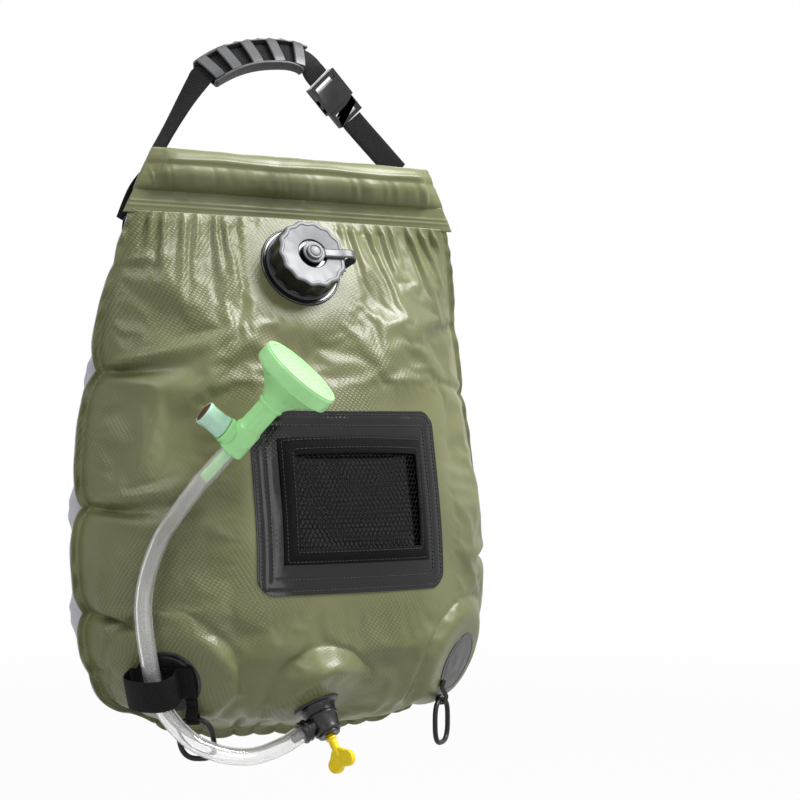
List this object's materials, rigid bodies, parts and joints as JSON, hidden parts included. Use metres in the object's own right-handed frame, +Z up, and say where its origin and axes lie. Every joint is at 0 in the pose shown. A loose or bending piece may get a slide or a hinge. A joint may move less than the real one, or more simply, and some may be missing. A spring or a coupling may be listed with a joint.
{
  "type": "camp shower bag",
  "caption": "Hanging pillow-shaped water bag with a strap loop and moulded grip, screw filler cap, net pocket, bottom tap and a clear hose to a small hand shower with a push valve.",
  "frame": {"origin": "the hang point under the middle of the grip, where a branch or hook carries the bag", "axes": "+Z up, front of the bag (filler, pocket and tap) towards -Y, the shower head on the -X side"},
  "size_m": [0.3599, 0.2446, 0.5625],
  "materials": {
    "front_panel": "olive woven-look PVC film, satin gloss",
    "back_panel": "pale grey PVC film, satin",
    "top_sleeve": "olive woven-look PVC film, welded",
    "top_rod": "extruded tube",
    "strap_webbing": "ribbed polypropylene webbing, black",
    "strap_lower": "ribbed polypropylene webbing, black",
    "strap_tail_left": "ribbed polypropylene webbing, black",
    "strap_tail_right": "ribbed polypropylene webbing, black",
    "anchor_left": "black welded film patch",
    "anchor_right": "black welded film patch",
    "grip": "dark grey moulded plastic, fine texture",
    "buckle_female": "black acetal, moulded",
    "buckle_male": "black acetal, moulded",
    "prong_left": "black acetal, moulded",
    "prong_right": "black acetal, moulded",
    "fill_neck": "dark grey moulded polyethylene",
    "tether_collar": "black soft moulding",
    "cap_tether": "dark grey soft moulding",
    "fill_cap": "dark grey moulded plastic",
    "cap_gasket": "soft sealing ring",
    "pocket_patch": "black glossy film, two seams",
    "pocket_mesh": "black knitted net",
    "pocket_hem": "black folded binding",
    "hose_patch": "black welded film patch",
    "corner_patch": "black welded film patch",
    "hose_strap_base": "black hook-and-loop webbing",
    "hose_strap_flap": "black hook-and-loop webbing",
    "ring_tab_left": "black narrow webbing",
    "ring_tab_right": "black narrow webbing",
    "tie_ring_left": "black moulded ring",
    "tie_ring_right": "black moulded ring",
    "outlet_body": "black moulded plastic",
    "tap_plug": "dark grey moulded plastic",
    "tap_seal": "O-ring",
    "tap_key": "yellow moulded plastic",
    "hose_collar": "black push-on collar",
    "hose": "clear flexible PVC tube",
    "hose_tap_end": "clear flexible PVC tube",
    "hose_head_end": "clear flexible PVC tube",
    "head_body": "mint moulded ABS",
    "head_rim": "mint moulded ABS",
    "head_face": "mint moulded ABS, perforated",
    "valve_knob": "pale mint moulded ABS",
    "knob_disc": "dark red moulded disc",
    "spool_seal_1": "O-ring",
    "spool_seal_2": "O-ring"
  },
  "bodies": {
    "handle": {"strap_webbing": "strap_webbing", "grip": "grip", "buckle_female": "buckle_female", "buckle_male": "buckle_male", "strap_lower": "strap_lower"},
    "bag": {"front_panel": "front_panel", "back_panel": "back_panel", "top_sleeve": "top_sleeve", "top_rod": "top_rod", "strap_tail_left": "strap_tail_left", "strap_tail_right": "strap_tail_right", "anchor_left": "anchor_left", "anchor_right": "anchor_right", "pocket_patch": "pocket_patch", "pocket_mesh": "pocket_mesh", "pocket_hem": "pocket_hem", "fill_neck": "fill_neck", "tether_collar": "tether_collar", "hose_patch": "hose_patch", "corner_patch": "corner_patch", "hose_strap_base": "hose_strap_base", "ring_tab_left": "ring_tab_left", "ring_tab_right": "ring_tab_right", "outlet_body": "outlet_body", "hose_collar": "hose_collar", "hose": "hose", "hose_tap_end": "hose_tap_end", "hose_head_end": "hose_head_end", "head_body": "head_body", "head_rim": "head_rim", "head_face": "head_face"},
    "tether": {"cap_tether": "cap_tether"},
    "cap": {"fill_cap": "fill_cap", "cap_gasket": "cap_gasket"},
    "tap": {"tap_plug": "tap_plug", "tap_seal": "tap_seal", "tap_key": "tap_key"},
    "valve": {"valve_knob": "valve_knob", "knob_disc": "knob_disc", "spool_seal_1": "spool_seal_1", "spool_seal_2": "spool_seal_2"},
    "prong_left": {"prong_left": "prong_left"},
    "prong_right": {"prong_right": "prong_right"},
    "ring_left": {"tie_ring_left": "tie_ring_left"},
    "ring_right": {"tie_ring_right": "tie_ring_right"},
    "hose_flap": {"hose_strap_flap": "hose_strap_flap"}
  },
  "joints": [
    {"name": "bag_swing", "type": "hinge", "parent": "handle", "child": "bag", "pos_m": [0, 0, -0.082], "axis": [1, 0, 0], "range_deg": [-5, 24]},
    {"name": "cap_rise", "type": "slide", "parent": "bag", "child": "tether", "axis": [0, -0.9205, 0.3907], "range_m": [0, 0.0061]},
    {"name": "cap_turn", "type": "hinge", "parent": "tether", "child": "cap", "pos_m": [-0.005, -0.03569, -0.16447], "axis": [0, -0.9205, 0.3907], "range_deg": [0, 540]},
    {"name": "tap_turn", "type": "hinge", "parent": "bag", "child": "tap", "pos_m": [-0.00281, -0.05849, -0.49497], "axis": [0.1604, -0.5613, -0.8119], "range_deg": [0, 90]},
    {"name": "valve_slide", "type": "slide", "parent": "bag", "child": "valve", "axis": [-0.785, 0.1114, 0.6095], "range_m": [0, 0.004]},
    {"name": "prong_left_flex", "type": "hinge", "parent": "handle", "child": "prong_left", "pos_m": [0.04263, 0, -0.03482], "axis": [0, 1, 0], "range_deg": [0, 8], "stiffness_Nm_per_rad": 0.1},
    {"name": "prong_right_flex", "type": "hinge", "parent": "handle", "child": "prong_right", "pos_m": [0.05335, 0, -0.02432], "axis": [0, -1, 0], "range_deg": [0, 8], "stiffness_Nm_per_rad": 0.1},
    {"name": "ring_left_swing", "type": "hinge", "parent": "bag", "child": "ring_left", "pos_m": [-0.09983, -0.05131, -0.49932], "axis": [0.7603, -0.6483, 0.0406], "range_deg": [0, 15]},
    {"name": "ring_right_swing", "type": "hinge", "parent": "bag", "child": "ring_right", "pos_m": [0.10824, -0.05659, -0.49899], "axis": [-0.8013, -0.5983, 0], "range_deg": [-15, 90]},
    {"name": "hose_flap_open", "type": "hinge", "parent": "bag", "child": "hose_flap", "pos_m": [-0.13904, -0.02934, -0.47329], "axis": [0.2833, 0.2747, -0.9188], "range_deg": [0, 100]}
  ],
  "couplings": [
    {"joint": "cap_rise", "follows": "cap_turn", "m_per_rad": 0.00063662}
  ]
}
